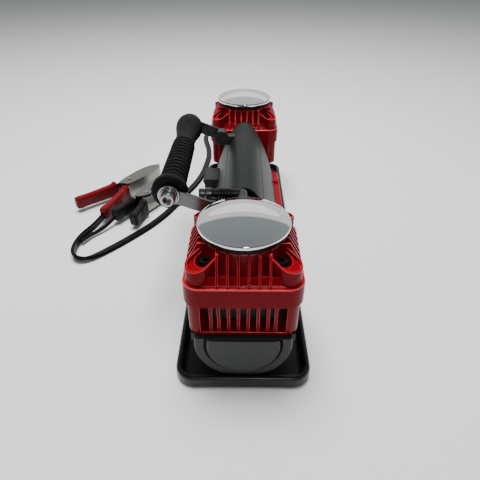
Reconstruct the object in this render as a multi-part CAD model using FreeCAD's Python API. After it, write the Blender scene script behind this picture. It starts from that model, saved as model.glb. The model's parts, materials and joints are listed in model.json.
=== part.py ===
import FreeCAD, Part
import math
import os

# Twin-cylinder 12 V air compressor. Millimetres, +Z up.
# +Y runs along the machine from the front head to the rear head, +X is the side away from
# the carrying handle. The origin is the centre of the tray's underside.

V = FreeCAD.Vector
UP = V(0, 0, 1)
ALONG = V(0, 1, 0)
ACROSS = V(1, 0, 0)

# Tray
TRAY_HALF_X, TRAY_HALF_Y, TRAY_CORNER = 48.0, 175.0, 14.0
TRAY_HEIGHT, TRAY_FLOOR, RIM_WIDTH = 10.0, 4.0, 5.0

# Shaft line, motor and cradle
SHAFT_Z, SHAFT_R = 38.5, 4.0
RUNNING_GAP = 0.05
CAN_R, CAN_WALL, CAN_HALF = 27.5, 2.0, 64.0
BEARING_R, BEARING_WIDTH = 11.0, 7.0
CRADLE_HALF_X, CRADLE_HALF_Y, CRADLE_TOP = 39.5, 91.0, 39.0

# Arched motor cover: a parabola, APEX high, COVER_HALF_X wide at the cradle's top
COVER_APEX, COVER_HALF_X, COVER_HALF_Y, COVER_WALL = 103.0, 33.0, 72.0, 2.6
COLLAR_APEX, COLLAR_HALF_X, COLLAR_END = 98.0, 31.0, 88.5
LEDGE_SCREWS = [(x, y) for x in (-36.3, 36.3) for y in (-62.0, 62.0)]
LEDGE_SCREW_R = 1.5

# The two heads
HEAD_Y = 131.0
CASE_R, CASE_WALL, CASE_FLAT = 31.0, 4.0, 45.6
CASE_OUTER, CASE_INNER, NECK_R = 166.0, 95.0, 19.0
CASE_BLOCK, CRANK_ROOM, CASE_TOP, RIB_FOOT = 24.6, 22.5, 66.0, 52.0
DISC_R, DISC_FACE = 32.5, 171.5
BLOCK_HALF, RIB_REACH, BLOCK_TOP, BORE_R = 19.5, 27.0, 92.0, 15.0
RIBS = (-19.2, -12.8, -6.4, 0.0, 6.4, 12.8, 19.2)
RIB_WIDTH = 3.6
GASKET, PLATE = 0.8, 3.0
BOX_HALF, LIP_HALF, BOX_CORNER = 36.3, 38.0, 10.0
BOX_BOTTOM, BAND_BOTTOM, LIP_TOP, BOX_WALL = 46.0, 71.5, 86.5, 3.0
WINDOW_HALF, WINDOW_LOW, WINDOW_HIGH = 27.5, 48.6, 71.0
SLATS = (-20.7, -15.7, -9.4, -3.1, 3.1, 9.4, 15.7, 20.7)
SLAT_WIDTH = 2.0
FIN_PITCH, FIN_WIDTH, FIN_REACH = 6.4, 1.5, 36.6
FIN_INNER_TOP, FIN_OUTER_TOP = 105.4, 91.0
CROWN_R, CROWN_TOP = 28.0, 106.0
POST_R, POST_AT, POST_TOP, LUG_INNER = 8.0, 27.6, 104.0, 17.5
SLOT_DEPTH, SLOT_RIM, POST_SLOPE = 4.0, 1.6, 0.36
SCREW_AT = 23.4
CAP_R, CAP_RIM, CAP_DOME = 30.0, 112.0, 7.0

# Crank and pistons. The big end's eye is wide, so the pistons slide on their own.
THROW, PIN_R, EYE_INNER, EYE_OUTER = 6.0, 3.5, 12.2, 15.3
PISTON_R = BORE_R - RUNNING_GAP
PISTON_CROWN_LOW, PISTON_CROWN_HIGH = 76.0, 85.0

# Carrying handle, folded down to the left
PIVOT_X, PIVOT_Z, PIVOT_R = -23.0, 95.5, 3.0
GRIP_X, GRIP_Z = -54.0, 107.0
GRIP_NEAR, GRIP_FAR = -88.6, 54.4
STRIP, STRIP_WIDTH = 2.5, 11.0
FRONT_LUG, REAR_LUG = 4.0, 9.0
BRACKET_FRONT = -COLLAR_END - 0.3 - STRIP
BRACKET_REAR = GRIP_FAR + 0.2

# Pipe between the heads, and the air outlet behind the front head
PIPE_R, PIPE_Z = 3.2, 91.0
OUTLET_R, OUTLET_X, OUTLET_Y, OUTLET_Z, OUTLET_END = 3.6, -1.0, -79.4, 102.2, -24.0
COUPLER_BORE = 2.6

# Rocker switch on the left ledge
SWITCH_Y, SWITCH_Z, SWITCH_FACE = 30.0, 56.0, -39.0
SWITCH_LENGTH, SWITCH_TOP = 27.0, 64.5

# Power cable: a flat twin lead, 9 mm across, drawn as a round tube of TUBE_R
GLAND_X, GLAND_Z, GLAND_END = -29.5, 14.0, 116.0
TUBE_R, LEAD_R = 3.2, 2.0
HANK_NEAR, HANK_LENGTH, HANK_HALF, HANK_X, HANK_HIGH = 232.0, 211.0, 33.0, 6.0, 13.0

def box(x0, x1, y0, y1, z0, z1):
    return Part.makeBox(x1 - x0, y1 - y0, z1 - z0, V(x0, y0, z0))


def rod(radius, start, direction, length):
    return Part.makeCylinder(radius, length, V(*start), direction)


def ring(outer, inner, start, direction, length):
    return rod(outer, start, direction, length).cut(rod(inner, start, direction, length))


def prism(points, direction):
    """A closed outline of points, extruded along direction."""
    face = Part.Face(Part.makePolygon([V(*p) for p in points] + [V(*points[0])]))
    return face.extrude(direction)


def rounded_block(half_x, half_y, corner, z0, z1, centre_y=0.0, centre_x=0.0):
    """An upright block with a rounded-rectangle plan."""
    block = Part.makeBox(2 * half_x, 2 * half_y, z1 - z0, V(centre_x - half_x, centre_y - half_y, z0))
    upright = [e for e in block.Edges if abs(e.tangentAt(e.FirstParameter).z) > 0.9]
    return block.makeFillet(corner, upright)


def edges_at(shape, z, reach=0.01):
    """The edges that lie flat at the height z."""
    return [e for e in shape.Edges if abs(e.BoundBox.ZMin - z) < reach and abs(e.BoundBox.ZMax - z) < reach]


def revolve(points, centre_x, centre_y):
    """A solid of revolution about an upright axis from (radius, height) points."""
    outline = [V(centre_x + r, centre_y, z) for r, z in points]
    face = Part.Face(Part.makePolygon(outline + [outline[0]]))
    return face.revolve(V(centre_x, centre_y, 0), UP, 360)


def turned(points, x, z):
    """A solid of revolution about a line along Y from (radius, y) points."""
    outline = [V(x + r, y, z) for r, y in points]
    face = Part.Face(Part.makePolygon(outline + [outline[0]]))
    return face.revolve(V(x, 0, z), ALONG, 360)


def join(shapes):
    return shapes[0].multiFuse(shapes[1:]).removeSplitter()


def group(shapes):
    """Several separate solids in one node."""
    return Part.makeCompound(shapes)


def mirrored(shape):
    """The rear copy of a piece at the front."""
    return shape.mirror(V(0, 0, 0), ALONG)


# ---------------------------------------------------------------- tray
def base_tray():
    outer = rounded_block(TRAY_HALF_X, TRAY_HALF_Y, TRAY_CORNER, 0, TRAY_HEIGHT)
    outer = outer.makeFillet(2.4, edges_at(outer, TRAY_HEIGHT))
    outer = outer.makeFillet(1.5, edges_at(outer, 0))
    inner = rounded_block(TRAY_HALF_X - RIM_WIDTH, TRAY_HALF_Y - RIM_WIDTH, TRAY_CORNER - RIM_WIDTH,
                          TRAY_FLOOR, TRAY_HEIGHT + 1)
    inner = inner.makeFillet(2.0, edges_at(inner, TRAY_FLOOR))
    tray = outer.cut(inner)
    reliefs = [rod(DISC_R + 0.2, (0, -DISC_FACE - 0.2, SHAFT_Z), ALONG, 2 * DISC_FACE + 0.4)]
    return tray.cut(group([tray_screw(x, y, 1.4) for x, y in TRAY_SCREWS] + reliefs))


TRAY_SCREWS = [(x, side * (HEAD_Y + y)) for side in (-1, 1) for x in (-14, 14) for y in (-22, 22)]


def tray_screw(x, y, mouth=0.0):
    """A countersunk M5 screw. Its hole is the same shape with a mouth that opens downwards."""
    head = Part.makeCone(5.0, 2.5, 2.6, V(x, y, 0.4), UP)
    if mouth:
        head = head.fuse(rod(5.0, (x, y, 0.4 - mouth), UP, mouth))
    return head.fuse(rod(2.5, (x, y, 0.4), UP, 11.2)).removeSplitter()


def tray_screws():
    sockets = [rod(1.5, (x, y, 0), UP, 2.0) for x, y in TRAY_SCREWS]
    return group([tray_screw(x, y).cut(s) for (x, y), s in zip(TRAY_SCREWS, sockets)])


# ---------------------------------------------------------------- crankcase, one per end
def outer_ribs(z0, z1):
    """The upright cooling ribs round a cylinder, on all four sides."""
    y = -HEAD_Y
    ribs = []
    for at in RIBS:
        a, b = at - RIB_WIDTH / 2, at + RIB_WIDTH / 2
        ribs.append(box(a, b, y - RIB_REACH, y + RIB_REACH, z0, z1))
        ribs.append(box(-RIB_REACH, RIB_REACH, y + a, y + b, z0, z1))
    return ribs


def crankcase():
    """A round case on a foot, with a square block on top that carries the cylinder."""
    y = -HEAD_Y
    body = rod(CASE_R, (0, -CASE_OUTER, SHAFT_Z), ALONG, CASE_OUTER - CASE_INNER)
    body = body.cut(box(-40, 40, -CASE_OUTER - 1, -CASE_INNER + 1, CASE_FLAT, 80))
    block = box(-CASE_BLOCK, CASE_BLOCK, y - CASE_BLOCK, y + CASE_BLOCK, CASE_FLAT - 12, CASE_TOP)
    foot = rounded_block(20, 32, 5, TRAY_FLOOR, 16, y)
    neck = rod(NECK_R, (0, -CASE_INNER - 1, SHAFT_Z), ALONG, CASE_INNER + 1 - CAN_HALF - 6)
    ears = box(-34.5, 34.5, -CASE_OUTER, -CASE_OUTER + 9, CASE_FLAT - 6, CASE_FLAT)
    body = join([body, block, foot, neck, ears] + outer_ribs(RIB_FOOT, CASE_TOP))
    low_room = rod(CASE_R - CASE_WALL, (0, -CASE_OUTER - 1, SHAFT_Z), ALONG, CASE_OUTER - CASE_INNER - 4)
    low_room = low_room.cut(box(-40, 40, -CASE_OUTER - 2, 0, CASE_FLAT - 3, 80))
    crank_room = rod(CRANK_ROOM, (0, y - 21, SHAFT_Z), ALONG, 42)
    mouth = rod(BORE_R + 3, (0, y, CASE_TOP - 8), UP, 12)
    seat = rod(BEARING_R, (0, -CASE_INNER - 6, SHAFT_Z), ALONG, BEARING_WIDTH)
    bore = rod(SHAFT_R + 2, (0, -CASE_INNER - 6, SHAFT_Z), ALONG, 60)
    screws = [rod(2.5, (x, at, 0), UP, 11.6) for x, at in TRAY_SCREWS if at < 0]
    body = body.cut(low_room)
    for hollow in [crank_room, mouth, seat, bore] + screws:
        body = body.cut(hollow)
    return body


def crankcase_cover():
    """The round end cover: a flat disc with a sunk centre, cut level under the shroud."""
    disc = rod(DISC_R, (0, -DISC_FACE, SHAFT_Z), ALONG, DISC_FACE - CASE_OUTER)
    front = [e for e in disc.Edges if abs(e.BoundBox.YMax + DISC_FACE) < 0.01]
    disc = disc.makeFillet(1.6, front)
    disc = disc.cut(rod(25.0, (0, -DISC_FACE - 1, SHAFT_Z), ALONG, 2.2))
    spigot = rod(CASE_R - CASE_WALL - 0.1, (0, -CASE_OUTER, SHAFT_Z), ALONG, 3)
    spigot = spigot.cut(rod(CASE_R - CASE_WALL - 3, (0, -CASE_OUTER, SHAFT_Z), ALONG, 3))
    spigot = spigot.cut(box(-40, 40, -CASE_OUTER - 1, 0, CASE_FLAT - 3.1, 80))
    cover = disc.cut(box(-40, 40, -DISC_FACE - 1, -CASE_OUTER + 1, CASE_FLAT, 90))
    return cover.fuse(spigot).removeSplitter()


# ---------------------------------------------------------------- cylinder, valve plate, shroud, head
def cylinder():
    y = -HEAD_Y
    barrel = box(-BLOCK_HALF, BLOCK_HALF, y - BLOCK_HALF, y + BLOCK_HALF, CASE_TOP, BLOCK_TOP)
    skirt = box(-CASE_BLOCK, CASE_BLOCK, y - CASE_BLOCK, y + CASE_BLOCK, CASE_TOP, LIP_TOP - 5)
    block = join([barrel, skirt] + outer_ribs(CASE_TOP, LIP_TOP - 5))
    return block.cut(rod(BORE_R, (0, y, CASE_TOP - 1), UP, BLOCK_TOP - CASE_TOP + 2))


def gasket():
    plate = box(-19, 19, -HEAD_Y - 19, -HEAD_Y + 19, BLOCK_TOP, BLOCK_TOP + GASKET)
    return plate.cut(rod(BORE_R + 0.5, (0, -HEAD_Y, BLOCK_TOP - 1), UP, 4))


def valve_plate():
    low = BLOCK_TOP + GASKET
    plate = box(-19.5, 19.5, -HEAD_Y - 19.5, -HEAD_Y + 19.5, low, low + PLATE)
    ports = [rod(2.5, (x, -HEAD_Y, low - 1), UP, PLATE + 2) for x in (-6.5, 6.5)]
    top = low + PLATE
    reeds = [box(x - 3.6, x + 3.6, -HEAD_Y - 11, -HEAD_Y + 5, top, top + 0.4) for x in (-6.5, 6.5)]
    rivets = [rod(1.5, (x, -HEAD_Y - 8.5, low + PLATE), UP, 1.2) for x in (-6.5, 6.5)]
    return join([plate.cut(group(ports))] + reeds + rivets)


def shroud():
    """The lower square casting: a walled box with a proud band on top and louvred windows."""
    y = -HEAD_Y
    lower = rounded_block(BOX_HALF, BOX_HALF, BOX_CORNER, BOX_BOTTOM, BAND_BOTTOM + 1, y)
    lower = lower.makeFillet(1.2, edges_at(lower, BOX_BOTTOM))
    band = rounded_block(LIP_HALF, LIP_HALF, BOX_CORNER, BAND_BOTTOM, LIP_TOP, y)
    shell = join([lower, band])
    inside = rounded_block(BOX_HALF - BOX_WALL, BOX_HALF - BOX_WALL, BOX_CORNER - BOX_WALL,
                           BOX_BOTTOM + 2.6, LIP_TOP + 1, y)
    shell = shell.cut(inside)
    shell = shell.cut(box(-29.5, 29.5, y - 29.5, y + 29.5, BOX_BOTTOM - 1, BOX_BOTTOM + 6))
    wide, low, high = WINDOW_HALF, WINDOW_LOW, WINDOW_HIGH
    front = box(-wide, wide, y - BOX_HALF - 3, y - BOX_HALF + BOX_WALL + 0.5, low, high)
    right = box(BOX_HALF - BOX_WALL - 0.5, BOX_HALF + 3, y - wide, y + wide, low, high)
    shell = shell.cut(group([front, right, right.mirror(V(0, 0, 0), ACROSS)]))
    shell = shell.cut(rod(NECK_R + 0.3, (0, y + 25, SHAFT_Z), ALONG, 20))
    slats = []
    for at in SLATS:
        a, b = at - SLAT_WIDTH / 2, at + SLAT_WIDTH / 2
        slats.append(box(a, b, y - BOX_HALF + 0.3, y - BOX_HALF + BOX_WALL, low - 1, high + 1))
        side = box(BOX_HALF - BOX_WALL, BOX_HALF - 0.3, y + a, y + b, low - 1, high + 1)
        slats += [side, side.mirror(V(0, 0, 0), ACROSS)]
    return join([shell] + slats)


def fin(at, quarter):
    """One upright cooling fin, turned to face one of the four sides."""
    low = LIP_TOP + 0.02
    outline = [(at - FIN_WIDTH / 2, 15, low), (at - FIN_WIDTH / 2, FIN_REACH, low),
               (at - FIN_WIDTH / 2, FIN_REACH, FIN_OUTER_TOP), (at - FIN_WIDTH / 2, CROWN_R, FIN_INNER_TOP),
               (at - FIN_WIDTH / 2, 15, FIN_INNER_TOP)]
    plate = prism(outline, V(FIN_WIDTH, 0, 0))
    plate.rotate(V(0, 0, 0), UP, 90 * quarter)
    plate.translate(V(0, -HEAD_Y, 0))
    return plate


def slot_shape(radius, x_sign, y_sign, z0, z1):
    """An obround on the diagonal, from the corner post in towards the cap."""
    outer = V(x_sign * POST_AT, -HEAD_Y + y_sign * POST_AT, z0)
    inner = V(x_sign * LUG_INNER, -HEAD_Y + y_sign * LUG_INNER, z0)
    along = (outer - inner).normalize()
    side = V(-along.y, along.x, 0) * radius
    corners = [inner - side, outer - side, outer + side, inner + side]
    bar = prism([tuple(c) for c in corners], V(0, 0, z1 - z0))
    ends = [Part.makeCylinder(radius, z1 - z0, p, UP) for p in (outer, inner)]
    return bar.multiFuse(ends)


def over_post(x_sign, y_sign, lift):
    """The space over a corner post's top, which falls away outwards along the diagonal."""
    start, end, top = 24.7, 60.0, POST_TOP + lift
    outline = [(0, -14, top), (start, -14, top), (end, -14, top - (end - start) * POST_SLOPE),
               (end, -14, POST_TOP + 5), (0, -14, POST_TOP + 5)]
    space = prism(outline, V(0, 28, 0))
    space.rotate(V(0, 0, 0), UP, math.degrees(math.atan2(y_sign, x_sign)))
    space.translate(V(0, -HEAD_Y, 0))
    return space


def head(has_outlet=True):
    """The finned cylinder head with its four corner posts and the crown under the cap."""
    y = -HEAD_Y
    inside = BOX_HALF - BOX_WALL - 0.2
    floor = rounded_block(inside, inside, 6.5, LIP_TOP - 3, LIP_TOP + 1.5, y)
    crown = rod(CROWN_R, (0, y, LIP_TOP - 3), UP, CROWN_TOP - LIP_TOP + 3)
    fins = [fin(i * FIN_PITCH, q) for q in range(4) for i in (-2.5, -1.5, -0.5, 0.5, 1.5, 2.5)]
    signs = [(a, b) for a in (-1, 1) for b in (-1, 1)]
    posts = [slot_shape(POST_R, a, b, LIP_TOP + 0.02, POST_TOP).cut(over_post(a, b, 0)) for a, b in signs]
    body = join([floor, crown] + fins + posts)
    recesses = [slot_shape(POST_R - SLOT_RIM, a, b, LIP_TOP + 4, POST_TOP + 1) for a, b in signs]
    recesses = [r.common(over_post(a, b, -SLOT_DEPTH)) for r, (a, b) in zip(recesses, signs)]
    recesses = [r.cut(rod(CROWN_R - 1.5, (0, y, 80), UP, 40)) for r in recesses]
    wells = [rod(3.6, (a * SCREW_AT, y + b * SCREW_AT, 94), UP, 20) for a, b in signs]
    holes = [rod(2.0, (a * SCREW_AT, y + b * SCREW_AT, 80), UP, 20) for a, b in signs]
    room = box(-20, 20, y - 20, y + 20, LIP_TOP - 4, BLOCK_TOP + GASKET + PLATE)
    plenum = box(-16, 16, y - 16, y + 16, LIP_TOP - 4, 101)
    socket = rod(6.0, (0, y, 99), UP, 20)
    outlet = rod(OUTLET_R, (OUTLET_X, y + CROWN_R - 3, OUTLET_Z), ALONG, 20)
    pipe = rod(PIPE_R, (0, y + CROWN_R - 2, PIPE_Z), ALONG, 20)
    ports = [pipe, outlet] if has_outlet else [pipe]
    for hollow in recesses + wells + holes + [room, plenum, socket] + ports:
        body = body.cut(hollow)
    return body


def head_screw(x, y):
    bolt = rod(3.4, (x, y, 94), UP, 4.0).fuse(rod(1.98, (x, y, 83.6), UP, 11))
    return bolt.cut(rod(1.6, (x, y, 95.6), UP, 3)).removeSplitter()


def cap_seal():
    return ring(CAP_R - 1.2, 25.0, (0, -HEAD_Y, CROWN_TOP), UP, CAP_RIM - 3.4 - CROWN_TOP)


def chrome_cap():
    """A spun dome with a rolled rim, held by a stud in the head's crown."""
    sphere_r = (CAP_R ** 2 + CAP_DOME ** 2) / (2 * CAP_DOME)
    centre = V(0, -HEAD_Y, CAP_RIM + CAP_DOME - sphere_r)
    dome = Part.makeSphere(sphere_r, centre).common(rod(CAP_R, (0, -HEAD_Y, CAP_RIM), UP, 20))
    skirt = rod(CAP_R, (0, -HEAD_Y, CAP_RIM - 3.4), UP, 3.4)
    skirt = skirt.makeFillet(1.2, edges_at(skirt, CAP_RIM - 3.4))
    hollow = rod(CAP_R - 3, (0, -HEAD_Y, CAP_RIM - 4), UP, 3.2)
    stud = rod(5.95, (0, -HEAD_Y, 101), UP, 12)
    return join([dome, skirt]).cut(hollow).fuse(stud).removeSplitter()


# ---------------------------------------------------------------- motor
def motor_can():
    return ring(CAN_R, CAN_R - CAN_WALL, (0, -CAN_HALF, SHAFT_Z), ALONG, 2 * CAN_HALF)


def magnets():
    shell = ring(CAN_R - CAN_WALL, 21.8, (0, -34, SHAFT_Z), ALONG, 68)
    gap = box(-60, 60, -40, 40, SHAFT_Z - 8, SHAFT_Z + 8)
    return shell.cut(gap)


def end_bell():
    """A motor end plate with a seat for the shaft's bearing."""
    plate = rod(CAN_R, (0, -CAN_HALF - 6, SHAFT_Z), ALONG, 6)
    spigot = rod(CAN_R - CAN_WALL, (0, -CAN_HALF, SHAFT_Z), ALONG, 5)
    bell = plate.fuse(spigot)
    seat = rod(BEARING_R, (0, -CAN_HALF - 2, SHAFT_Z), ALONG, BEARING_WIDTH)
    hole = rod(SHAFT_R + 2, (0, -CAN_HALF - 7, SHAFT_Z), ALONG, 14)
    return bell.cut(group([seat, hole])).removeSplitter()


def bearings():
    starts = (-CASE_INNER - 6, -CAN_HALF - 2, CAN_HALF + 2 - BEARING_WIDTH, CASE_INNER + 6 - BEARING_WIDTH)
    bore = SHAFT_R + RUNNING_GAP
    return group([ring(BEARING_R, bore, (0, y, SHAFT_Z), ALONG, BEARING_WIDTH) for y in starts])


def motor_shaft():
    return rod(SHAFT_R, (0, -HEAD_Y + 9, SHAFT_Z), ALONG, 2 * (HEAD_Y - 9))


def armature_core():
    core = ring(20.8, SHAFT_R, (0, -32, SHAFT_Z), ALONG, 64)
    slots = []
    for i in range(12):
        slot = box(-1.4, 1.4, -33, 33, SHAFT_Z + 12, SHAFT_Z + 22)
        slot.rotate(V(0, 0, SHAFT_Z), ALONG, 30 * i)
        slots.append(slot)
    return core.cut(group(slots))


def armature_windings():
    ends = []
    for side in (-1, 1):
        start = 32.2 if side > 0 else -42.2
        bundle = ring(18.0, 7.0, (0, start, SHAFT_Z), ALONG, 10)
        ends.append(bundle.makeFillet(2.5, [e for e in bundle.Edges if e.Closed and e.Curve.Radius > 17]))
    return group(ends)


def commutator():
    drum = ring(9.0, SHAFT_R, (0, 43, SHAFT_Z), ALONG, 11)
    cuts = []
    for i in range(12):
        cut = box(-0.3, 0.3, 42, 56, SHAFT_Z + 8.2, SHAFT_Z + 10)
        cut.rotate(V(0, 0, SHAFT_Z), ALONG, 30 * i + 15)
        cuts.append(cut)
    return drum.cut(group(cuts))


def brushes():
    right = box(9.3, 23, 45, 52, SHAFT_Z - 4, SHAFT_Z + 4)
    return group([right, right.mirror(V(0, 0, 0), ACROSS)])


def crank_disc():
    """Crank web with its counterweight and pin, pressed on the shaft's end."""
    web_y = -HEAD_Y + 9
    web = rod(9.0, (0, web_y - 7, SHAFT_Z), ALONG, 14)
    weight = rod(21.5, (0, web_y - 4, SHAFT_Z), ALONG, 8)
    weight = weight.cut(box(-5, 30, web_y - 10, web_y + 20, 0, 80))
    neck = box(-6, THROW + 2, web_y - 4, web_y + 4, SHAFT_Z - 6, SHAFT_Z + 6)
    pin = rod(PIN_R, (THROW, web_y - 17, SHAFT_Z), ALONG, 18)
    seat = rod(SHAFT_R, (0, web_y, SHAFT_Z), ALONG, 10)
    disc = join([web.cut(box(-30, 30, web_y - 10, web_y - 4, 0, 80)), weight, neck, pin])
    return disc.cut(seat)


def piston():
    """Piston, rod and wide big-end eye in one piece, at mid stroke."""
    y = -HEAD_Y
    eye = rod(EYE_OUTER, (0, y - 4, SHAFT_Z), ALONG, 8)
    shank = box(-5, 5, y - 3, y + 3, SHAFT_Z + EYE_OUTER - 2, PISTON_CROWN_LOW + 1)
    low, high = PISTON_CROWN_LOW, PISTON_CROWN_HIGH
    crown = revolve([(0, low), (PISTON_R - 1, low), (PISTON_R - 0.4, low + 3), (PISTON_R, low + 3.5),
                     (PISTON_R, low + 6), (PISTON_R - 0.6, low + 6.5), (PISTON_R - 0.6, high), (0, high)], 0, y)
    return join([eye, shank, crown]).cut(rod(EYE_INNER, (0, y - 5, SHAFT_Z), ALONG, 10))


# ---------------------------------------------------------------- cradle and cover
def arch(half_x, apex, y0, y1, foot=CRADLE_TOP):
    """A solid parabolic arch standing on the cradle, from y0 to y1."""
    curve = Part.BezierCurve()
    curve.setPoles([V(-half_x, y0, foot), V(0, y0, 2 * apex - foot), V(half_x, y0, foot)])
    base = Part.LineSegment(V(half_x, y0, foot), V(-half_x, y0, foot))
    face = Part.Face(Part.Wire([curve.toShape(), base.toShape()]))
    return face.extrude(V(0, y1 - y0, 0))


def motor_cradle():
    """The red bed under the motor: a rounded block with a trough, and a ledge each side."""
    block = rounded_block(CRADLE_HALF_X, CRADLE_HALF_Y, 9, TRAY_FLOOR, CRADLE_TOP)
    block = block.makeFillet(2.0, edges_at(block, CRADLE_TOP))
    trough = rod(CAN_R + 0.02, (0, -100, SHAFT_Z), ALONG, 200)
    under = box(-30, 30, -80, 80, TRAY_FLOOR - 1, TRAY_FLOOR + 4)
    side_room = [box(a, b, -80, 80, TRAY_FLOOR - 1, 30) for a, b in ((-36.5, -30), (30, 36.5))]
    screws = [rod(LEDGE_SCREW_R, (x, y, CRADLE_TOP - 4), UP, 5) for x, y in LEDGE_SCREWS]
    return block.cut(group([trough, under] + side_room + screws))


def motor_cover():
    outer = arch(COVER_HALF_X, COVER_APEX, -COVER_HALF_Y, COVER_HALF_Y)
    end = COVER_HALF_Y + 1
    inner = arch(COVER_HALF_X - COVER_WALL, COVER_APEX - COVER_WALL - 0.6, -end, end)
    return outer.cut(inner)


def lug(y0, y1):
    """A boss for the handle's pivot, on a plate that stands out from the cover's left flank."""
    boss = rod(7.2, (PIVOT_X, y0, PIVOT_Z), ALONG, y1 - y0)
    web = box(PIVOT_X, 0, y0, y1, PIVOT_Z - 6.5, PIVOT_Z + 2.4)
    return boss.fuse(web)


def cover_end(has_lug=False):
    """The darker collar between the cover and a head, closed at its outer end."""
    start, end = -COLLAR_END, -COVER_HALF_Y
    outer = arch(COLLAR_HALF_X, COLLAR_APEX, start, end)
    if has_lug:
        outer = outer.fuse(lug(start, start + FRONT_LUG))
    inner = arch(COLLAR_HALF_X - 3, COLLAR_APEX - 4, start + 3, end + 1)
    shaft_hole = rod(NECK_R + 0.5, (0, start - 1, SHAFT_Z), ALONG, 10)
    pipe_hole = rod(PIPE_R + 0.4, (0, start - 1, PIPE_Z), ALONG, end - start + 2)
    pivot_hole = rod(PIVOT_R, (PIVOT_X, start - 1, PIVOT_Z), ALONG, FRONT_LUG + 2)
    for hollow in (inner, shaft_hole, pipe_hole, pivot_hole):
        outer = outer.cut(hollow)
    return outer


def rear_lug():
    boss = lug(BRACKET_REAR - 0.3 - REAR_LUG, BRACKET_REAR - 0.3)
    skin = arch(COVER_HALF_X + 0.02, COVER_APEX + 0.02, 0, 70)
    hole = rod(PIVOT_R, (PIVOT_X, BRACKET_REAR - 10, PIVOT_Z), ALONG, 12)
    return boss.cut(skin).cut(hole)


def delivery_pipe():
    """The copper pipe that joins the two heads' plenums, over the motor."""
    end = HEAD_Y - CROWN_R + 2
    return ring(PIPE_R, PIPE_R - 0.8, (0, -end, PIPE_Z), ALONG, 2 * end)


def cover_screws():
    heads = [rod(3.0, (x, y, CRADLE_TOP), UP, 1.6) for x, y in LEDGE_SCREWS]
    shanks = [rod(LEDGE_SCREW_R, (x, y, CRADLE_TOP - 4), UP, 4) for x, y in LEDGE_SCREWS]
    return group([head_part.fuse(shank) for head_part, shank in zip(heads, shanks)])


# ---------------------------------------------------------------- handle
def strip_between(y):
    """A flat steel strip from the pivot to the grip, with a round eye at each end."""
    a, b = V(PIVOT_X, y, PIVOT_Z), V(GRIP_X, y, GRIP_Z)
    along = (b - a).normalize()
    side = V(-along.z, 0, along.x) * (STRIP_WIDTH / 2)
    bar = prism([tuple(p) for p in (a - side, b - side, b + side, a + side)], V(0, STRIP, 0))
    eyes = [rod(r, tuple(p), ALONG, STRIP) for r, p in ((6.5, a), (7.2, b))]
    holes = [rod(r, (p.x, y - 1, p.z), ALONG, STRIP + 2) for r, p in ((PIVOT_R + RUNNING_GAP, a), (3.0, b))]
    return bar.multiFuse(eyes).cut(group(holes)).removeSplitter()


def handle_rod():
    tube = ring(6.0, 3.0, (GRIP_X, GRIP_NEAR, GRIP_Z), ALONG, GRIP_FAR - GRIP_NEAR)
    return tube


def handle_grip():
    """Rubber grip: flange, ribbed barrel, smooth neck and a rounded end bulb."""
    y = GRIP_NEAR
    outline = [(6.0, y), (12.0, y), (13.3, y + 1.2), (13.3, y + 6), (12.2, y + 8), (10.4, y + 12)]
    ribs = 15
    pitch = 5.2
    for i in range(ribs):
        at = y + 13 + i * pitch
        outline += [(9.0, at), (9.0, at + 1.4), (10.1, at + 2.2), (10.1, at + 4.2)]
    last = y + 13 + ribs * pitch
    outline += [(9.4, last + 1), (9.2, last + 18), (9.8, last + 30), (11.4, last + 38), (12.7, last + 44),
                (12.9, GRIP_FAR - 3), (11.6, GRIP_FAR), (6.0, GRIP_FAR)]
    return turned(outline, GRIP_X, GRIP_Z)


def handle_bolts():
    """At each end: a socket-head bolt, a spring washer and a flat washer."""
    pieces = []
    for face, way in ((BRACKET_FRONT, -1), (BRACKET_REAR + STRIP, 1)):
        direction = ALONG * way
        pieces.append(ring(8.6, 3.0, (GRIP_X, face, GRIP_Z), direction, 1.4))
        pieces.append(ring(7.0, 3.0, (GRIP_X, face + way * 1.45, GRIP_Z), direction, 1.5))
        start = (GRIP_X, face + way * 3.0, GRIP_Z)
        head_part = rod(6.4, start, direction, 5.0)
        shank = rod(2.95, start, direction * -1, 16)
        bolt = head_part.fuse(shank)
        socket = hexagon(2.9, GRIP_X, GRIP_Z, face + way * 5.0, way * 4.0)
        pieces.append(bolt.cut(socket).removeSplitter())
    return group(pieces)


def hexagon(radius, x, z, y, depth):
    turns = [math.pi * i / 3 for i in range(6)]
    corners = [(x + radius * math.cos(t), y, z + radius * math.sin(t)) for t in turns]
    return prism(corners, V(0, depth, 0))


def pivot_pins():
    back = -COLLAR_END + FRONT_LUG
    front = rod(PIVOT_R, (PIVOT_X, BRACKET_FRONT - 1.0, PIVOT_Z), ALONG, back - BRACKET_FRONT + 1.0)
    front = front.fuse(rod(5.0, (PIVOT_X, BRACKET_FRONT - 1.3, PIVOT_Z), ALONG, 1.1))
    tail = BRACKET_REAR - REAR_LUG
    rear = rod(PIVOT_R, (PIVOT_X, tail, PIVOT_Z), ALONG, REAR_LUG + STRIP + 0.4)
    rear = rear.fuse(rod(5.5, (PIVOT_X, BRACKET_REAR + STRIP + 0.2, PIVOT_Z), ALONG, 3.0))
    return group([front.removeSplitter(), rear.removeSplitter()])


# ---------------------------------------------------------------- air outlet
def outlet_elbow():
    """A black fitting from the front head's back, turned to the left over the collar."""
    start = -HEAD_Y + CROWN_R - 3
    back = rod(OUTLET_R, (OUTLET_X, start, OUTLET_Z), ALONG, OUTLET_Y - start)
    across = rod(OUTLET_R, (OUTLET_X, OUTLET_Y, OUTLET_Z), ACROSS * -1, OUTLET_X - OUTLET_END)
    corner = Part.makeSphere(OUTLET_R, V(OUTLET_X, OUTLET_Y, OUTLET_Z))
    return join([back, across, corner])


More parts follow.
